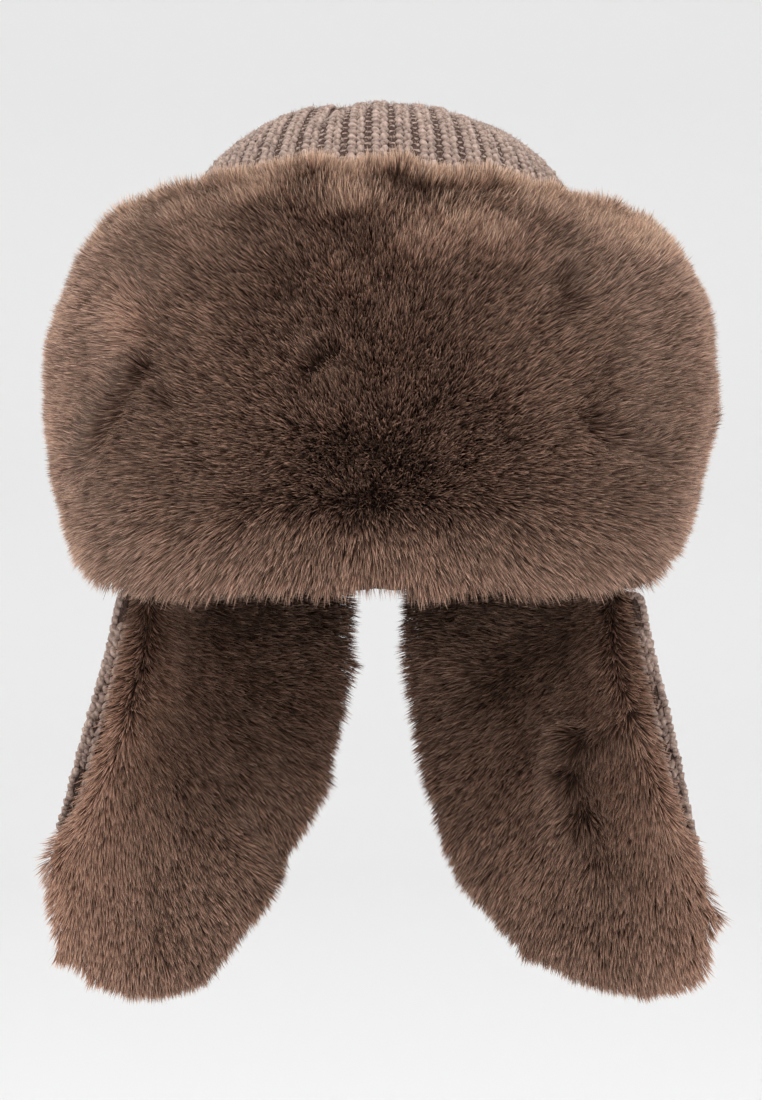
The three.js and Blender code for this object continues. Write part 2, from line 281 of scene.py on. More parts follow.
def yarnMaterial(name):
    # each leg of a stitch has its own patch of yarnMap, U round the yarn and V along it
    look = yarnLook
    material, tree, shader = plainMaterial(name, look["roughness"], look["specular"])
    shader.inputs["Sheen Weight"].default_value = look["sheen"]
    uv = addNode(tree, "ShaderNodeUVMap", uv_map="yarnMap")
    fibre = addNode(tree, "ShaderNodeGroup", node_tree=fibres)
    fibre.inputs["Scale"].default_value = look["fuzzScale"]
    link(tree, uv.outputs["UV"], fibre.inputs["Vector"])
    fuzz = fibre.outputs["Fuzz"]
    # plies wind round the yarn as slanting stripes
    parts = addNode(tree, "ShaderNodeSeparateXYZ")
    link(tree, uv.outputs["UV"], parts.inputs["Vector"])
    around = maths(tree, "MULTIPLY", parts.outputs["X"], look["aroundPlies"])
    slant = maths(tree, "MULTIPLY_ADD", parts.outputs["Y"], look["alongPlies"], around)
    wobble = maths(tree, "MULTIPLY_ADD", fuzz, look["wobble"], slant)
    plies = maths(tree, "MULTIPLY_ADD", maths(tree, "SINE", wobble), 0.5, 0.5)
    fuzzPart = maths(tree, "MULTIPLY", fuzz, look["fuzzShare"])
    shade = maths(tree, "MULTIPLY_ADD", fibre.outputs["Blotch"], look["blotchShare"], fuzzPart)
    shade = maths(tree, "MULTIPLY_ADD", plies, look["plyShare"], shade)
    stops = [(look["darkAt"], look["dark"]), (look["lightAt"], look["light"])]
    link(tree, rampNode(tree, shade, stops), shader.inputs["Base Color"])
    height = maths(tree, "MULTIPLY_ADD", plies, look["plyBump"], fuzz)
    bumped(tree, shader, height, look["bump"], look["bumpDepth"])
    return material


# colours from a strand's root to its tip, and how much the darkest and palest strands differ
pileLook = {
    "along": [
        (0.05, linear(64, 45, 37)),
        (0.45, linear(114, 84, 69)),
        (0.75, linear(158, 125, 107)),
        (1.0, linear(208, 177, 158)),
    ],
    "darkest": (0.28, 0.26, 0.25, 1),
    "middle": (0.92, 0.9, 0.88, 1),
    "palest": (1.6, 1.56, 1.52, 1),
    "roughness": 0.6, "specular": 0.25,
}
fringeLook = dict(pileLook, along=[
    (0.05, linear(96, 74, 62)),
    (0.5, linear(166, 134, 113)),
    (1.0, linear(212, 186, 166)),
])
lintLook = dict(pileLook, along=[
    (0.05, linear(122, 101, 92)),
    (1.0, linear(204, 182, 170)),
])


def strandMaterial(name, look):
    # furMap holds each strand's own tone in U and the way from its root to its tip in V
    material, tree, shader = plainMaterial(name, look["roughness"], look["specular"])
    uv = addNode(tree, "ShaderNodeUVMap", uv_map="furMap")
    parts = addNode(tree, "ShaderNodeSeparateXYZ")
    link(tree, uv.outputs["UV"], parts.inputs["Vector"])
    along = rampNode(tree, parts.outputs["Y"], look["along"])
    tone = rampNode(tree, parts.outputs["X"], [
        (0.0, look["darkest"]), (0.5, look["middle"]), (1.0, look["palest"]),
    ])
    link(tree, multiplied(tree, along, tone), shader.inputs["Base Color"])
    return material


# what shows between the stitches or the strands, kept dark as painted shade
groundShadeLook = {
    "dark": linear(60, 46, 41), "light": linear(102, 82, 74), "darkAt": 0.3, "lightAt": 0.7,
    "roughness": 0.95, "specular": 0.1, "fuzzScale": 1200, "bump": 0.7, "bumpDepth": 0.001,
}
undercoatShadeLook = dict(groundShadeLook, **{
    "dark": linear(44, 33, 28), "light": linear(76, 57, 48), "fuzzScale": 700, "bumpDepth": 0.002,
})


def underMaterial(name, look):
    material, tree, shader = plainMaterial(name, look["roughness"], look["specular"])
    where = addNode(tree, "ShaderNodeTexCoord")
    fibre = addNode(tree, "ShaderNodeGroup", node_tree=fibres)
    fibre.inputs["Scale"].default_value = look["fuzzScale"]
    link(tree, where.outputs["Object"], fibre.inputs["Vector"])
    stops = [(look["darkAt"], look["dark"]), (look["lightAt"], look["light"])]
    link(tree, rampNode(tree, fibre.outputs["Fuzz"], stops), shader.inputs["Base Color"])
    bumped(tree, shader, fibre.outputs["Fuzz"], look["bump"], look["bumpDepth"])
    return material


fibres = fibreGroup()
yarn = yarnMaterial("taupeYarn")
pile = strandMaterial("furPile", pileLook)
fringe = strandMaterial("furFringe", fringeLook)
lint = strandMaterial("yarnLint", lintLook)
# the knit's ground and the fur's undercoat are dark as painted shade between stitches and strands
ground = underMaterial("knitGround", groundShadeLook)
undercoat = underMaterial("furUndercoat", undercoatShadeLook)
print("materials made")


def smoothStep(x, low, high):
    t = min(1.0, max(0.0, (x - low) / (high - low)))
    return t * t * (3 - 2 * t)


# the rib knit: columns of V stitches with a column of purl stitches between each two. legLength and
# purlThickness count in rows, legApart and legThickness in widths of a rib
knit = {
    "rowHeight": 0.0040,
    "ribShare": 0.76, "purlShare": 0.24,  # of the pitch
    "legLength": 1.55, "legLean": 0.5, "legApart": 0.215, "legThickness": 0.25,
    "purlThickness": 0.36, "flatness": 0.9,
    "unevenLie": 0.07, "unevenThickness": (0.9, 1.1),
    "proud": 0.0003, "sunk": 0.0008,  # V stitches lie over the ground and purl ones under it
    "lobeSides": 5, "lobeRings": 3,
    "patchFrom": 0.02, "patchTo": 0.86, "patchSize": (0.05, 0.1, 0.0),  # of yarnMap
}


def surfaceTree(ground):
    bm = bmesh.new()
    bm.from_mesh(ground.data)
    tree = BVHTree.FromBMesh(bm)
    bm.free()
    return tree


def outermost(tree, centre, direction):
    # where a ray from far outside first meets the surface
    far = 0.4
    place, _, _, _ = tree.ray_cast(centre + direction * far, -direction, far)
    return place


def evenRows(path, spacing):
    # stations at even steps along a path, each with its way up
    rows, need = [], 0.5 * spacing
    for a, b in zip(path, path[1:]):
        step = b["place"] - a["place"]
        while step.length > tiny and need <= step.length:
            place = a["place"] + step * (need / step.length)
            rows.append(dict(a, place=place, up=step.normalized()))
            need += spacing
        need -= step.length
    return rows


def knitPoints(name, paths):
    # a cloud with two points for each V stitch and one for each purl, and how each stands
    bm = bmesh.new()
    up = bm.verts.layers.float_vector.new("up")
    out = bm.verts.layers.float_vector.new("out")
    wide = bm.verts.layers.float.new("wide")
    leg = bm.verts.layers.float.new("leg")
    for path in paths:
        for row in evenRows(path, knit["rowHeight"]):
            if not row["width"]:
                continue
            facing = row["across"].cross(row["up"]).normalized()
            rise = -knit["sunk"] if row["purl"] else knit["proud"]
            for sign in (0,) if row["purl"] else (-1, 1):
                apart = row["across"] * (knit["legApart"] * row["width"] * sign)
                vert = bm.verts.new(row["place"] + apart + facing * rise)
                vert[up] = row["up"]
                vert[out] = facing
                vert[wide] = row["width"]
                vert[leg] = sign
    mesh = bpy.data.meshes.new(name)
    bm.to_mesh(mesh)
    bm.free()
    return mesh


def lobe():
    # one leg of a stitch: a plump oval along Y with its face to Z, and its map round and along
    bm = bmesh.new()
    bm.loops.layers.uv.new("round")
    bmesh.ops.create_uvsphere(
        bm, u_segments=knit["lobeSides"], v_segments=knit["lobeRings"], radius=1, calc_uvs=True)
    bmesh.ops.rotate(bm, verts=bm.verts, matrix=Matrix.Rotation(math.radians(90), 3, "X"))
    return objectFrom("stitchLobe", bm, yarn)


def stitchTree(shape):
    tree, start, end = newGeometryTree("stitches")
    toPoints = addNode(tree, "GeometryNodeMeshToPoints")
    link(tree, start, toPoints.inputs["Mesh"])
    corner = (jitter(tree, seed, knit["patchFrom"], knit["patchTo"]) for seed in (1, 2))
    patch = combine(tree, *corner, 0.0)
    points = stored(tree, toPoints.outputs[0], "patch", patch, "FLOAT_VECTOR")
    up = attribute(tree, "up", "FLOAT_VECTOR")
    out = attribute(tree, "out", "FLOAT_VECTOR")
    wide = attribute(tree, "wide")
    leg = attribute(tree, "leg")
    isLeg = maths(tree, "ABSOLUTE", leg)
    isPurl = maths(tree, "SUBTRACT", 1.0, isLeg)
    # the legs of a V lean apart as they go up, and a purl lies across
    side = vectors(tree, "CROSS_PRODUCT", up, out)
    lean = maths(tree, "MULTIPLY_ADD", leg, knit["legLean"], isPurl)
    lying = vectors(tree, "SCALE", up, scale=isLeg)
    lying = vectors(tree, "ADD", lying, vectors(tree, "SCALE", side, scale=lean))
    lying = vectors(tree, "ADD", lying, jitters(tree, 3, knit["unevenLie"]))
    rowHeight = knit["rowHeight"]
    purlThick = maths(tree, "MULTIPLY", isPurl, knit["purlThickness"] * rowHeight)
    legThick = maths(tree, "MULTIPLY", wide, knit["legThickness"])
    thick = maths(tree, "MULTIPLY_ADD", isLeg, legThick, purlThick)
    thick = maths(tree, "MULTIPLY", thick, jitter(tree, 6, *knit["unevenThickness"]))
    purlLong = maths(tree, "MULTIPLY", isPurl, wide)
    long = maths(tree, "MULTIPLY_ADD", isLeg, 0.5 * rowHeight * knit["legLength"], purlLong)
    size = combine(tree, thick, long, maths(tree, "MULTIPLY", thick, knit["flatness"]))
    mesh = planted(tree, points, shape, ("Z", out), ("Y", lying), size, yarn)
    small = vectors(tree, "MULTIPLY", attribute(tree, "round", "FLOAT_VECTOR"), knit["patchSize"])
    mapped = vectors(tree, "ADD", small, attribute(tree, "patch", "FLOAT_VECTOR"))
    link(tree, stored(tree, mesh, "yarnMap", mapped, "FLOAT2", "CORNER"), end)
    return tree


def knitted(name, paths):
    obj = newObject(name, knitPoints(name, paths), yarn)
    runTree(obj, stitching, ("patch", "up", "out", "wide", "leg", "round"))
    obj.data.shade_smooth()
    finishPiece(obj, "knit")
    print(name, "knitted", triangles(obj))


def groundPiece(name, node):
    # the knit's ground, dark as painted shade between the stitches, a softened copy of the solid
    obj = objectFrom(name, mergedCopy(node), ground)
    soften = obj.modifiers.new("soften", "SUBSURF")
    soften.levels = soften.render_levels = 1
    applyModifiers(obj)
    obj.data.shade_smooth()
    finishPiece(obj, "knit", node)
    print(name, "softened", triangles(obj))
    return obj


crownKnit = {
    "ribs": 64,  # round the rim, as many as the solid has
    "centre": 0.055,  # height of the point from which the ribs are laid out
    "tilts": (-28, 90),  # degrees up from there, from below the rim to the gather
    "rim": 0.0005,  # height of the lowest stitches
    "gatherBack": 32,  # degrees from the top back to the gather
    "firstDecrease": 0.046, "lastDecrease": 0.022, "gather": 0.006,  # distances from the gather
    "bandTurn": 86, "bandTop": 0.128,  # the band hides the knit in front, up to this height
}


def ribWidth(step, radius):
    # what a rib or groove is wide, where ribs are decreased away towards the gather
    every = 1
    for limit in (crownKnit["firstDecrease"], crownKnit["lastDecrease"]):
        if radius < limit:
            every *= 2
    purl = step // every % 2 == 1
    if step % every or radius < crownKnit["gather"]:
        return 0, purl
    pitch = 2 * math.pi * radius * every / crownKnit["ribs"]
    return pitch * (knit["purlShare"] if purl else knit["ribShare"]), purl


def crownPath(tree, step):
    # up the crown from rim to gather, where step counts the ribs and the grooves between them
    turn = math.pi * step / crownKnit["ribs"]
    centre = Vector((0, 0, crownKnit["centre"]))
    flat = Vector((math.sin(turn), -math.cos(turn), 0))
    across = Vector((math.cos(turn), math.sin(turn), 0))
    gatherBack = -math.radians(crownKnit["gatherBack"])
    path = []
    for degrees in range(*crownKnit["tilts"]):
        tilt = math.radians(degrees)
        back = Matrix.Rotation(gatherBack * smoothStep(degrees, 0, 90), 3, "X")
        way = back @ (flat * math.cos(tilt) + Vector((0, 0, math.sin(tilt))))
        place = outermost(tree, centre, way)
        if place and place.z > crownKnit["rim"]:
            width, purl = ribWidth(step, (place - centre).length * math.cos(tilt))
            width *= showsOnCrown(place)
            path.append({"place": place, "across": back @ across, "width": width, "purl": purl})
    return path


def showsOnCrown(place):
    turn = abs(math.degrees(math.atan2(place.x, -place.y)))
    return turn > crownKnit["bandTurn"] or place.z > crownKnit["bandTop"]


flapKnit = {
    "ribs": 14, "pitch": 0.011,
    "levels": 70, "endClear": 0.002,  # heights at which a flap is scanned, clear of its two ends
    "firstTurn": 78, "turnStep": 0.42, "turnSteps": 250,  # degrees over which a flap is looked for
    "fewest": 8,  # a scan needs more places than this
    "shares": (0.015, 0.985),  # of the width, where the first and the last rib run
    "acrossReach": 0.03,  # share of the width over which the way across is taken
    # the rib along the front edge, down to the height edgeEnd
    "edgeInset": 0.003, "edgeWidth": 0.0062, "edgeEnd": -0.125,
    "edgeDepth": 0.006, "edgeSmoothing": 6,
}


def flapScan(tree, height, side):
    # the places of a flap's outer face at one height, from its front edge to its nape edge
    places = []
    for step in range(flapKnit["turnSteps"]):
        turn = math.radians(flapKnit["firstTurn"] + flapKnit["turnStep"] * step)
        flat = Vector((side * math.sin(turn), -math.cos(turn), 0))
        place = outermost(tree, Vector((0, 0, height)), flat)
        if place:
            places.append(place)
    return places


def pointAt(path, share):
    # the place at a share of a path's length
    lengths = [0.0]
    for a, b in zip(path, path[1:]):
        lengths.append(lengths[-1] + (b - a).length)
    goal = min(max(share, 0.0), 1.0) * lengths[-1]
    for k in range(1, len(path)):
        if lengths[k] >= goal:
            span = max(tiny, lengths[k] - lengths[k - 1])
            return path[k - 1].lerp(path[k], (goal - lengths[k - 1]) / span)
    return path[-1]


def flapPaths(tree, node, side):
    low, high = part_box(node)
    count, clear = flapKnit["levels"], flapKnit["endClear"]
    rise = high.z - low.z - 2 * clear
    heights = [low.z + clear + rise * k / count for k in range(count + 1)]
    scans = [flapScan(tree, height, side) for height in heights]
    scans = [scan for scan in scans if len(scan) > flapKnit["fewest"]]
    steps, reach = 2 * flapKnit["ribs"], flapKnit["acrossReach"]
    firstShare, lastShare = flapKnit["shares"]
    paths = []
    for k in range(steps + 1):
        share = min(lastShare, max(firstShare, k / steps))
        purl = k % 2 == 1
        width = flapKnit["pitch"] * (knit["purlShare"] if purl else knit["ribShare"])
        path = []
        for scan in scans:
            before, place, after = (pointAt(scan, share + way) for way in (-reach, 0, reach))
            across = side * (after - before).normalized()
            path.append({"place": place, "across": across, "width": width, "purl": purl})
        paths.append(path)
    paths.append(edgePath(tree, scans, side))
    return paths


def edgePath(tree, scans, side):
    # one rib turned round the front edge, seen from in front
    before = 0.05
    places = []
    for scan in scans:
        start = scan[0] + Vector((-side * flapKnit["edgeInset"], -before, 0))
        place, _, _, _ = tree.ray_cast(start, Vector((0, 1, 0)), 2 * before)
        if not place or place.z <= flapKnit["edgeEnd"]:
            continue
        if abs(place.y - scan[0].y) < flapKnit["edgeDepth"]:
            places.append(place)
    for _ in range(flapKnit["edgeSmoothing"]):
        middle = [(a + b) / 2 for a, b in zip(places, places[1:])]
        places = places[:1] + [(a + b) / 2 for a, b in zip(middle, middle[1:])] + places[-1:]
    rib = {"across": Vector((1, 0, 0)), "width": flapKnit["edgeWidth"], "purl": False}
    return [dict(rib, place=place) for place in places]


crownGround = groundPiece("crownGround", "crown")
leftGround = groundPiece("flapGroundLeft", "flap_knit_left")
rightGround = groundPiece("flapGroundRight", "flap_knit_right")
stitchLobe = lobe()
stitching = stitchTree(stitchLobe)
crownTree = surfaceTree(crownGround)
knitted("crownStitches", [crownPath(crownTree, step) for step in range(2 * crownKnit["ribs"])])
knitted("flapStitchesLeft", flapPaths(surfaceTree(leftGround), "flap_knit_left", -1))
knitted("flapStitchesRight", flapPaths(surfaceTree(rightGround), "flap_knit_right", 1))


def outwards(place, normal):
    # 1 where a surface looks away from the hat's axis, -1 where it looks towards it
    return normal.dot(Vector((place.x, place.y, 0)).normalized())


def keepLargest(bm):
    # drops the crumbs that a remesh leaves where a solid is thin
    islands, seen = [], set()
    for first in bm.verts:
        if first in seen:
            continue
        seen.add(first)
        island = [first]
        for vert in island:
            near = {other for edge in vert.link_edges for other in edge.verts} - seen
            seen |= near
            island.extend(near)
        islands.append(island)
    islands.sort(key=len)
    crumbs = [vert for island in islands[:-1] for vert in island]
    bmesh.ops.delete(bm, geom=crumbs, context="VERTS")


def undercoatPiece(name, node, settings, shift):
    # a smooth body under the pile, moved from the solid as shift says
    obj = objectFrom(name, mergedCopy(node), undercoat)
    remesh = obj.modifiers.new("remesh", "REMESH")
    remesh.mode = "VOXEL"
    remesh.voxel_size = settings["voxel"]
    applyModifiers(obj)
    bm = bmesh.new()
    bm.from_mesh(obj.data)
    keepLargest(bm)
    for _ in range(settings["smoothing"]):
        smoothBody(bm)
    bm.normal_update()
    places = [vert.co + shift(vert.co, vert.normal) for vert in bm.verts]
    for vert, place in zip(bm.verts, places):
        vert.co = place
    smoothBody(bm)
    bm.to_mesh(obj.data)
    bm.free()
    obj.data.shade_smooth()
    finishPiece(obj, "fur", node)
    print(name, "shaped", triangles(obj))
    return obj


# the strands of every pile. stray and wave turn them, and their tips draw together in tufts
strand = {
    "width": 0.0004, "widths": (0.6, 1.4), "lengths": (0.72, 1.12),
    "stray": 0.2, "wave": 0.55, "waveSizes": (0.04, 0.013),
    "twist": 0.8,  # how much their flat sides turn about
    "tuft": 0.0042, "draw": 0.24,
    "tones": 0.64, "blotches": 0.3, "blotchScale": 40, "toneRange": (0.03, 0.97),
    "evening": 12,  # rounds of smoothing for the way the strands stand
}
pieceLimit = 190000  # strands in one piece


def blade():
    # one slim slip along Y, widest at two thirds, which keeps how far up each corner lies
    bm = bmesh.new()
    corners = [bm.verts.new(place) for place in ((-0.3, 0, 0), (0.6, 0.62, 0), (-0.3, 1, 0))]
    bmesh.ops.contextual_create(bm, geom=corners)
    reach = bm.verts.layers.float.new("reach")
    for vert in bm.verts:
        vert[reach] = vert.co.y
    return objectFrom("strandBlade", bm, pile)


def swirl(tree, position, size, amount):
    noise = addNode(tree, "ShaderNodeTexNoise")
    noise.inputs["Scale"].default_value = 1 / size
    noise.inputs["Detail"].default_value = 1
    link(tree, position, noise.inputs["Vector"])
    centred = vectors(tree, "SUBTRACT", noise.outputs["Color"], (0.5, 0.5, 0.5))
    return vectors(tree, "SCALE", centred, scale=amount)


def strandTree(label, density, seed, settings, material):
    tree, start, end = newGeometryTree("strands" + label)
    scatter = addNode(tree, "GeometryNodeDistributePointsOnFaces", distribute_method="RANDOM")
    link(tree, start, scatter.inputs["Mesh"])
    scatter.inputs["Seed"].default_value = seed
    covered = maths(tree, "MULTIPLY", attribute(tree, "cover"), density)
    link(tree, covered, scatter.inputs["Density"])
    position = addNode(tree, "GeometryNodeInputPosition").outputs[0]

    # the combed lie with broad waves, finer waves and stray strands
    lie = attribute(tree, "comb", "FLOAT_VECTOR")
    for waveSize in settings["waveSizes"]:
        lie = vectors(tree, "ADD", lie, swirl(tree, position, waveSize, settings["wave"]))
    lie = vectors(tree, "ADD", lie, jitters(tree, 1, settings["stray"]))
    along = vectors(tree, "ADD", attribute(tree, "rise", "FLOAT_VECTOR"), lie)
    share = jitter(tree, 5, *settings["lengths"])
    length = maths(tree, "MULTIPLY", attribute(tree, "length"), share)

    # tips draw together in small tufts
    tufts = addNode(tree, "ShaderNodeTexVoronoi", feature="F1")
    tufts.inputs["Scale"].default_value = 1 / settings["tuft"]
    link(tree, position, tufts.inputs["Vector"])
    toTuft = vectors(tree, "SUBTRACT", tufts.outputs["Position"], position)
    draw = vectors(tree, "SCALE", toTuft, scale=settings["draw"])

    # broad blotches, and strands that each have a tone of their own
    blotch = addNode(tree, "ShaderNodeTexNoise")
    blotch.inputs["Scale"].default_value = settings["blotchScale"]
    link(tree, position, blotch.inputs["Vector"])
    centred = maths(tree, "SUBTRACT", blotch.outputs["Fac"], 0.5)
    tone = maths(tree, "MULTIPLY_ADD", centred, settings["blotches"], attribute(tree, "tone"))
    tone = maths(tree, "ADD", tone, jitter(tree, 6, -settings["tones"], settings["tones"]))
    limited = addNode(tree, "ShaderNodeClamp")
    limited.inputs["Min"].default_value, limited.inputs["Max"].default_value = settings["toneRange"]
    link(tree, tone, limited.inputs["Value"])

    points = stored(tree, scatter.outputs["Points"], "draw", draw, "FLOAT_VECTOR")
    points = stored(tree, points, "hue", limited.outputs[0])
    against = vectors(tree, "SCALE", lie, scale=-1.0)
    facing = vectors(tree, "ADD", against, jitters(tree, 7, settings["twist"]))
    width = maths(tree, "MULTIPLY", jitter(tree, 10, *settings["widths"]), settings["width"])
    size = combine(tree, width, length, 1.0)
    mesh = planted(tree, points, strandBlade, ("Y", along), ("Z", facing), size, material)
    reach = attribute(tree, "reach")
    bend = addNode(tree, "GeometryNodeSetPosition")
    link(tree, mesh, bend.inputs["Geometry"])
    bent = vectors(tree, "SCALE", attribute(tree, "draw", "FLOAT_VECTOR"), scale=reach)
    link(tree, bent, bend.inputs["Offset"])
    inset = 0.02  # keeps root and tip off the ends of furMap
    way = maths(tree, "MULTIPLY_ADD", reach, 1 - 2 * inset, inset)
    mapped = combine(tree, attribute(tree, "hue"), way, 0.0)
    link(tree, stored(tree, bend.outputs[0], "furMap", mapped, "FLOAT2", "CORNER"), end)
    return tree


def evenNormals(mesh, rounds):
    # which way the pile stands, evened out so that it doesn't open up along an edge
    bm = bmesh.new()
    bm.from_mesh(mesh)
    for _ in range(rounds):
        smoothBody(bm)
    bm.normal_update()
    normals = [vert.normal.copy() for vert in bm.verts]
    bm.free()
    return normals


def setFacts(mesh, facts):
    # keeps one list of values a vertex under each name
    for name, values in facts.items():
        isVector = name in ("comb", "rise")
        layer = mesh.attributes.new(name, "FLOAT_VECTOR" if isVector else "FLOAT", "POINT")
        flat = [c for value in values for c in value] if isVector else values
        layer.data.foreach_set("vector" if isVector else "value", flat)


def swollen(place, swells):
    # how far the undercoat stands out from the solid, or in where a swell is negative
    total = 0.0
    for swell in swells:
        far = math.hypot(place.x - swell["x"], place.z - swell["z"]) / swell["size"]
        total += swell["swell"] * math.exp(-far * far)
    return total


def growPile(name, base, settings, field, material=pile, slotName="fur"):
    # field gives each place its comb, strand length, cover and tone
    mesh = base.data.copy()
    facts = {"comb": [], "rise": [], "length": [], "cover": [], "tone": []}
    for vert, rise in zip(mesh.vertices, evenNormals(mesh, settings["evening"])):
        here = field(vert.co, rise)
        here["comb"] = here["comb"] - rise * here["comb"].dot(rise)
        here["rise"] = rise
        for key in facts:
            facts[key].append(here[key])
    setFacts(mesh, facts)
    covered = sum(
        face.area * sum(facts["cover"][v] for v in face.vertices) / len(face.vertices)
        for face in mesh.polygons
    )
    # a piece stays under 200,000 triangles, so a large pile is grown as more than one piece
    sheets = math.ceil(settings["strands"] / pieceLimit)
    density = settings["strands"] / sheets / covered
    for sheet in range(sheets):
        label = name if sheets == 1 else name + str(sheet + 1)
        obj = newObject(label, mesh.copy(), material)
        tree = strandTree(label, density, settings["seed"] + sheet, settings, material)
        runTree(obj, tree, ("draw", "hue", "reach", *facts))
        finishPiece(obj, slotName)
        print(label, "grown", triangles(obj))
    bpy.data.meshes.remove(mesh)


def markPush(marks, place):
    # how the marks near a place turn its pile, in x and z, and how they tone it, a negative tone
    # being painted shade
    push = Vector((0, 0, 0))
    tone = 0.0
    spot = Vector((place.x, 0, place.z))
    for mark in marks:
        a = Vector((mark["a"][0], 0, mark["a"][1]))
        b = Vector((mark["b"][0], 0, mark["b"][1]))
        share = min(1.0, max(0.0, (spot - a).dot(b - a) / (b - a).length_squared))
        away = spot - a.lerp(b, share)
        far = away.length / mark["size"]
        if far > 0.0001:  # right on the line there's no way to lean
            push += away.normalized() * mark["push"] * far * math.exp(1 - far * far)
        tone += mark["tone"] * math.exp(-far * far * 2)
    return push, tone


def parted(distance, reach):
    # nothing on a parting, growing towards 1 well away from it
    return distance / (abs(distance) + reach)


bandFur = dict(strand, **{
    "voxel": 0.004, "smoothing": 24, "sink": 0.0048,
    "strands": 316000, "length": 0.0102, "seed": 3,
    "radius": 0.115,  # of the band, to measure along it
    "parting": 0.046,  # height of the line from which the pile leans away
    "upReach": 0.07, "lean": 1.05,
    "sidewaysReach": 0.17, "sideLean": 1.75, "sideLength": 1.15, "sideTurns": (0.3, 0.9),
    "calm": 0.75, "calmTurn": 0.38,  # the pile hardly fans out in the middle of the band
    "hangFrom": 0.041, "hangRange": 0.03,  # below this height the pile turns down
    "lowLength": 1.35, "lowLean": 0.7,
    "topHeights": (0.11, 0.16), "topLean": 0.4,  # the pile stands straighter near the top
    "levelFaces": (0.35, 0.8),  # and level, unless its face looks up or down by this much
    # how the undercoat departs from the solid: sunk on outward faces, less so at its lower edge,
    # which hangs, and lower along the middle of its top
    "sunkFaces": (-0.6, 0.2),
    "lowEdge": 0.03, "lowRange": 0.02, "lowKeep": 0.8, "lowDrop": 0.0015,
    "topDrop": 0.0035, "dropSides": (0.07, 0.11), "dropHeights": (0.12, 0.15),
    "coveredFaces": (-0.75, -0.4), "markedFaces": 0.2,
})
# what is added to the tone of the strands in each place; the band's sides, where it turns away,
# and its up-facing faces are paler as painted rim light and painted top light
bandTones = {
    "plain": 0.2, "top": -0.28, "low": 0.14,
    "middle": 0.2, "middleTurn": 0.7,
    "ends": 0.34, "rimLightTurns": (0.85, 1.35),
    "upper": 0.6, "upperFaces": (0.45, 0.8),
}

# where the band is fuller or slimmer than the solid
bandSwells = [
    {"x": 0.130, "z": 0.130, "size": 0.026, "swell": 0.0045},
    {"x": 0.105, "z": 0.163, "size": 0.030, "swell": -0.0045},
    {"x": -0.112, "z": 0.158, "size": 0.034, "swell": -0.004},
    {"x": -0.070, "z": 0.176, "size": 0.022, "swell": -0.003},
]

# partings, creases and whorls, from one place to another as x and z in metres. push fans the pile
# away from the line, a negative push closes it over the line, and tone pales it, or darkens it
# with painted shade where the pile parts or creases.
bandMarks = [
    {"a": (-0.098, 0.111), "b": (-0.094, 0.104), "size": 0.012, "push": 0.5, "tone": 0.45},
    {"a": (-0.092, 0.086), "b": (-0.116, 0.053), "size": 0.006, "push": 0.95, "tone": -0.3},
    {"a": (-0.082, 0.074), "b": (-0.080, 0.073), "size": 0.004, "push": 0.3, "tone": -0.4},
    {"a": (-0.025, 0.088), "b": (-0.019, 0.092), "size": 0.004, "push": 0.3, "tone": -0.5},
    {"a": (-0.022, 0.082), "b": (-0.018, 0.086), "size": 0.004, "push": -0.4, "tone": 0.25},
    {"a": (-0.017, 0.123), "b": (-0.014, 0.116), "size": 0.004, "push": 0.3, "tone": 0.4},
    {"a": (0.070, 0.120), "b": (0.072, 0.115), "size": 0.006, "push": 0.5, "tone": -0.45},
    {"a": (0.088, 0.112), "b": (0.090, 0.080), "size": 0.012, "push": 0.3, "tone": -0.1},
    {"a": (0.080, 0.066), "b": (0.106, 0.055), "size": 0.006, "push": 0.45, "tone": -0.2},
    {"a": (0.020, 0.157), "b": (0.027, 0.147), "size": 0.006, "push": 0.5, "tone": -0.4},
    {"a": (0.028, 0.160), "b": (0.044, 0.157), "size": 0.005, "push": 0.4, "tone": 0.2},
    {"a": (-0.060, 0.034), "b": (0.050, 0.034), "size": 0.008, "push": 0.2, "tone": -0.08},
]


def bandShift(place, normal):
    low = smoothStep(bandFur["lowEdge"] - place.z, 0.0, bandFur["lowRange"])
    depth = bandFur["sink"] * smoothStep(outwards(place, normal), *bandFur["sunkFaces"])
    shift = normal * (swollen(place, bandSwells) - depth)
    shift.z -= shift.z * bandFur["lowKeep"] * low + bandFur["lowDrop"] * low
    middle = 1 - smoothStep(abs(place.x), *bandFur["dropSides"])
    shift.z -= bandFur["topDrop"] * middle * smoothStep(place.z, *bandFur["dropHeights"])
    return shift


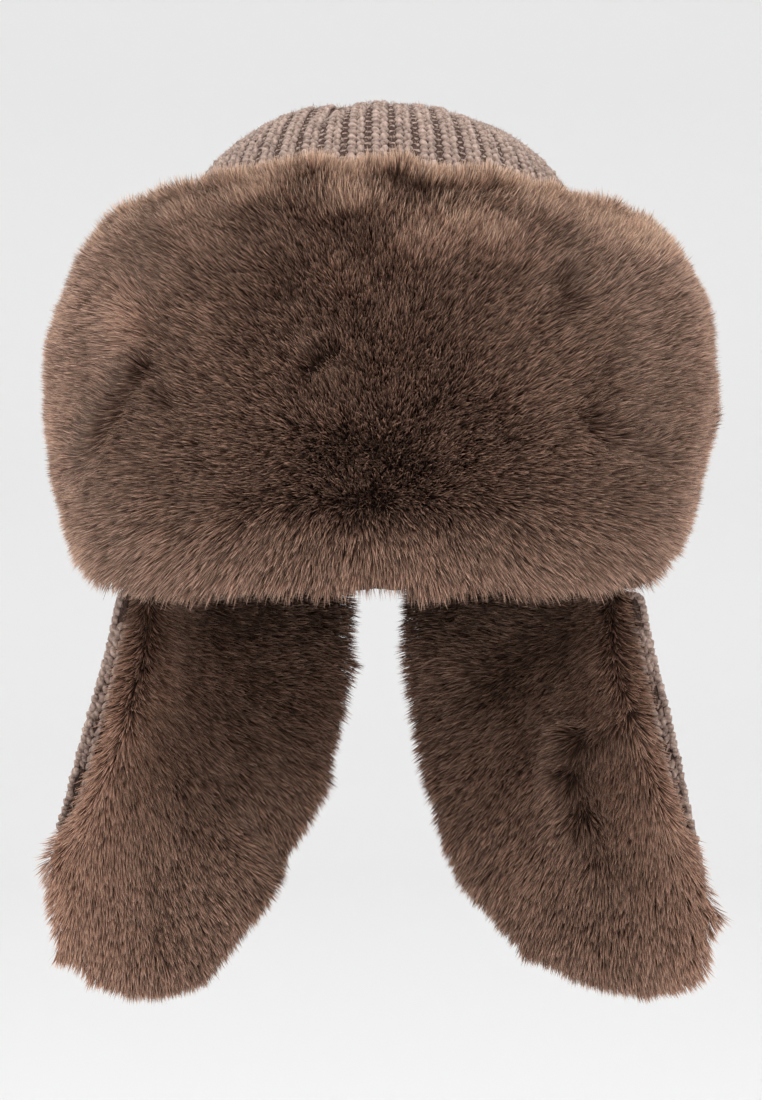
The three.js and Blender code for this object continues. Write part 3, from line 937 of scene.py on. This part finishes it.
def bandField(place, normal):
    # the pile parts low on the band and leans away from there all round
    turn = math.atan2(place.x, -place.y)
    around = Vector((math.cos(turn), math.sin(turn), 0))
    sideways = parted(bandFur["radius"] * turn, bandFur["sidewaysReach"])
    sideways *= 1 - bandFur["calm"] * math.exp(-(turn / bandFur["calmTurn"]) ** 2)
    upwards = parted(place.z - bandFur["parting"], bandFur["upReach"])
    top = smoothStep(place.z, *bandFur["topHeights"])
    upwards *= 1 - (1 - bandFur["topLean"]) * top
    low = smoothStep(bandFur["hangFrom"] - place.z, 0.0, bandFur["hangRange"])
    level = 1 - smoothStep(abs(normal.z), *bandFur["levelFaces"])
    comb = around * (bandFur["sideLean"] * sideways)
    comb.z += bandFur["lean"] * upwards - bandFur["lowLean"] * low - level * normal.z
    facing = outwards(place, normal)
    tone = bandTones["plain"] + bandTones["top"] * top + bandTones["low"] * low
    tone += bandTones["middle"] * math.exp(-(turn / bandTones["middleTurn"]) ** 2)
    # painted rim light on the band's sides and painted top light on its up-facing faces
    tone += bandTones["ends"] * smoothStep(abs(turn), *bandTones["rimLightTurns"])
    tone += bandTones["upper"] * smoothStep(normal.z, *bandTones["upperFaces"])
    if facing > bandFur["markedFaces"]:
        push, shade = markPush(bandMarks, place)
        comb += push
        tone += shade
    length = bandFur["length"] * (1 + (bandFur["lowLength"] - 1) * low)
    length *= 1 + (bandFur["sideLength"] - 1) * smoothStep(abs(turn), *bandFur["sideTurns"])
    cover = smoothStep(facing, *bandFur["coveredFaces"])
    return {"comb": comb, "length": length, "cover": cover, "tone": tone}


# the soft pale edge that stands up over the knit
bandFringe = dict(strand, **{
    "strands": 30000, "length": 0.0118, "seed": 5, "width": 0.00036, "draw": 0.3,
    "lean": 0.3, "tone": 0.62, "upperFaces": (0.55, 0.88), "heights": (0.09, 0.11),
})


def fringeField(place, normal):
    cover = smoothStep(normal.z, *bandFringe["upperFaces"])
    cover *= smoothStep(place.z, *bandFringe["heights"])
    comb = Vector((0, 0, bandFringe["lean"]))
    length, tone = bandFringe["length"], bandFringe["tone"]
    return {"comb": comb, "length": length, "cover": cover, "tone": tone}


flapFur = dict(strand, **{
    "voxel": 0.0035, "smoothing": 40, "sink": 0.0010, "evening": 45,
    "strands": 104000, "length": 0.0098, "seed": 11,
    "parting": 0.068, "slant": 0.17,  # where the pile parts at the rim, and further out below it
    "partingReach": 0.024, "lean": 0.55, "outerLean": 0.9,
    "hangAtRim": 0.3, "hangBelow": 1.0, "hangDepths": (0.02, 0.13),
    "rimLength": 0.75, "rimDepths": (-0.03, 0.02),  # shorter strands at the rim
    "sunkFaces": (0.2, 0.8), "coveredFaces": (-0.85, -0.55),
})
# what is added to the tone of the strands in each place, apart from painted rim light beyond the
# parting;
# the pile is darker at the top, under the band, as painted shadow, and paler low down where its
# faces turn away, as painted rim light
flapTones = {
    "plain": 0.47, "beyond": 0.04,
    "top": -0.28, "topHeights": (-0.035, 0.0),
    "edge": 0.25, "edgeFaces": (-0.6, 0.0),
}
leftSwells = [
    {"x": -0.092, "z": -0.172, "size": 0.022, "swell": 0.0035},
    {"x": -0.134, "z": -0.158, "size": 0.016, "swell": -0.004},
    {"x": -0.136, "z": -0.110, "size": 0.020, "swell": 0.002},
    {"x": -0.006, "z": -0.030, "size": 0.016, "swell": -0.004},
    {"x": -0.045, "z": -0.140, "size": 0.016, "swell": -0.002},
]
rightSwells = [
    {"x": 0.105, "z": -0.172, "size": 0.024, "swell": 0.003},
    {"x": 0.036, "z": -0.122, "size": 0.016, "swell": 0.0035},
    {"x": 0.146, "z": -0.133, "size": 0.016, "swell": -0.002},
    {"x": 0.012, "z": -0.055, "size": 0.016, "swell": -0.0025},
]
# creases on the flaps, laid out as bandMarks; a negative tone darkens a crease with painted shade
leftMarks = [
    {"a": (-0.058, -0.100), "b": (-0.050, -0.112), "size": 0.009, "push": -0.4, "tone": -0.12},
]
rightMarks = [
    {"a": (0.080, -0.014), "b": (0.049, -0.038), "size": 0.015, "push": 0.35, "tone": -0.14},
    {"a": (0.124, -0.046), "b": (0.086, -0.064), "size": 0.006, "push": 0.35, "tone": -0.2},
    {"a": (0.086, -0.064), "b": (0.082, -0.080), "size": 0.007, "push": 0.45, "tone": -0.16},
    {"a": (0.082, -0.080), "b": (0.086, -0.098), "size": 0.007, "push": 0.45, "tone": -0.16},
    {"a": (0.086, -0.098), "b": (0.096, -0.118), "size": 0.007, "push": 0.4, "tone": -0.1},
    {"a": (0.098, -0.076), "b": (0.102, -0.104), "size": 0.012, "push": 0.0, "tone": 0.1},
    {"a": (0.056, -0.072), "b": (0.064, -0.110), "size": 0.026, "push": 0.0, "tone": 0.12},
]


def flapShift(swells):
    # sunk only where it looks inwards, so that the edges keep their outline
    def shift(place, normal):
        depth = flapFur["sink"] * smoothStep(-outwards(place, normal), *flapFur["sunkFaces"])
        return normal * (swollen(place, swells) - depth)
    return shift


def flapField(side, marks, paintedOuterLight):
    # the pile parts near the front edge and hangs more the further down it grows
    def field(place, normal):
        parting = flapFur["parting"] - flapFur["slant"] * min(0.0, place.z)
        outer = side * place.x - parting
        sideways = parted(outer, flapFur["partingReach"])
        sideways *= flapFur["outerLean"] if outer > 0 else flapFur["lean"]
        low = smoothStep(-place.z, *flapFur["hangDepths"])
        hang = flapFur["hangAtRim"] + (flapFur["hangBelow"] - flapFur["hangAtRim"]) * low
        comb = Vector((side * sideways, 0, -hang))
        push, tone = markPush(marks, place)
        facing = outwards(place, normal)
        # painted rim light beyond the parting, painted shadow under the band at the top, and
        # painted rim light low down where the faces turn away
        tone += flapTones["plain"] + paintedOuterLight * smoothStep(outer, 0.0, flapTones["beyond"])
        tone += flapTones["top"] * smoothStep(place.z, *flapTones["topHeights"])
        tone += flapTones["edge"] * smoothStep(facing, *flapTones["edgeFaces"]) * low
        rimLength = flapFur["rimLength"]
        full = smoothStep(-place.z, *flapFur["rimDepths"])
        length = flapFur["length"] * (rimLength + (1 - rimLength) * full)
        cover = smoothStep(-facing, *flapFur["coveredFaces"])
        return {"comb": comb + push, "length": length, "cover": cover, "tone": tone}
    return field


# loose fibres that soften the yarn
yarnFuzz = dict(strand, **{
    "strands": 42000, "length": 0.0028, "seed": 23, "width": 0.0002,
    "stray": 1.6, "wave": 0, "draw": 0, "tone": 0.5, "tones": 0.3, "evening": 0,
    "crownFaces": (0.1, 0.3), "flapFaces": (-0.1, 0.2), "flapStrands": 12000,
})


def fuzzOn(cover):
    length, tone = yarnFuzz["length"], yarnFuzz["tone"]
    return {"comb": Vector((0, 0, 0)), "length": length, "cover": cover, "tone": tone}


def crownFuzz(place, normal):
    facing = max(outwards(place, normal), normal.z)
    return fuzzOn(smoothStep(facing, *yarnFuzz["crownFaces"]) * showsOnCrown(place))


def flapFuzz(place, normal):
    return fuzzOn(smoothStep(outwards(place, normal), *yarnFuzz["flapFaces"]))


strandBlade = blade()
bandCoat = undercoatPiece("bandUndercoat", "front_band", bandFur, bandShift)
growPile("bandPile", bandCoat, bandFur, bandField)
growPile("bandFringe", bandCoat, bandFringe, fringeField, fringe)
# the last value is painted rim light beyond the parting, stronger on the left
for side, label, marks, swells, paintedOuterLight in (
    (-1, "Left", leftMarks, leftSwells, 0.5),
    (1, "Right", rightMarks, rightSwells, 0.24),
):
    node = "flap_fur_" + label.lower()
    coat = undercoatPiece("flapUndercoat" + label, node, flapFur, flapShift(swells))
    settings = dict(flapFur, seed=flapFur["seed"] + 3 * side)  # each side has its own
    growPile("flapPile" + label, coat, settings, flapField(side, marks, paintedOuterLight))
growPile("crownLint", crownGround, yarnFuzz, crownFuzz, lint, "knit")
flapLint = dict(yarnFuzz, strands=yarnFuzz["flapStrands"])
for label, base in (("Left", leftGround), ("Right", rightGround)):
    growPile("flapLint" + label, base, flapLint, flapFuzz, lint, "knit")
for helper in (stitchLobe, strandBlade):
    bpy.data.objects.remove(helper)


# the studio, whose floor is a wide shallow bowl given as radius and rise
studio = {
    "floor": -0.45, "albedo": 0.82, "roughness": 0.9, "specular": 0.2, "daylight": 1.16,
    "bowl": [(0, 0), (4.5, 0), (5.2, 0.15), (5.8, 0.55), (6.1, 1.25), (6.2, 4.45)],
    "bowlSteps": 72,
    "lamps": [
        {"at": (-1.1, -1.6, 1.6), "size": 1.2, "power": 22},
        {"at": (1.4, -1.2, 1.0), "size": 1.2, "power": 11},
    ],
}


def makeFloor():
    backdrop, _, shader = plainMaterial("backdrop", studio["roughness"], studio["specular"])
    shader.inputs["Base Color"].default_value = (studio["albedo"],) * 3 + (1,)
    bm = bmesh.new()
    low = studio["floor"]
    profile = [bm.verts.new((x, 0, low + rise)) for x, rise in studio["bowl"]]
    edges = [bm.edges.new(pair) for pair in zip(profile, profile[1:])]
    bmesh.ops.spin(
        bm, geom=profile + edges, cent=(0, 0, 0), axis=(0, 0, 1), angle=2 * math.pi,
        steps=studio["bowlSteps"], use_merge=True)
    bmesh.ops.remove_doubles(bm, verts=bm.verts, dist=mergeDistance)
    bmesh.ops.recalc_face_normals(bm, faces=bm.faces)
    floor = objectFrom("studioFloor", bm, backdrop)
    floor.data.shade_smooth()


def makeLights():
    bpy.context.scene.view_settings.view_transform = "Standard"
    world = bpy.data.worlds.new("studio")
    bpy.context.scene.world = world
    world.use_nodes = True
    sky = world.node_tree.nodes["Background"]
    sky.inputs["Color"].default_value = (1, 1, 1, 1)
    sky.inputs["Strength"].default_value = studio["daylight"]
    for softbox in studio["lamps"]:
        lamp = bpy.data.lights.new("softbox", "AREA")
        lamp.size = softbox["size"]
        lamp.energy = softbox["power"]
        obj = bpy.data.objects.new("softbox", lamp)
        bpy.context.scene.collection.objects.link(obj)
        obj.location = softbox["at"]
        obj.rotation_mode = "QUATERNION"
        obj.rotation_quaternion = (-obj.location).to_track_quat("-Z", "Y")


# the photograph's view
view = {
    "distance": 1.925, "across": 0.0004, "height": 0.0168,
    "lens": 150, "sensor": 36, "clipEnd": 50,
}


def makeCamera():
    data = bpy.data.cameras.new("camera")
    data.lens = view["lens"]
    data.sensor_width = view["sensor"]
    data.clip_end = view["clipEnd"]
    camera = bpy.data.objects.new("camera", data)
    bpy.context.scene.collection.objects.link(camera)
    camera.location = (view["across"], -view["distance"], view["height"])
    camera.rotation_euler = (math.radians(90), 0, 0)
    bpy.context.scene.camera = camera


makeFloor()
makeLights()
makeCamera()
print("studio set")
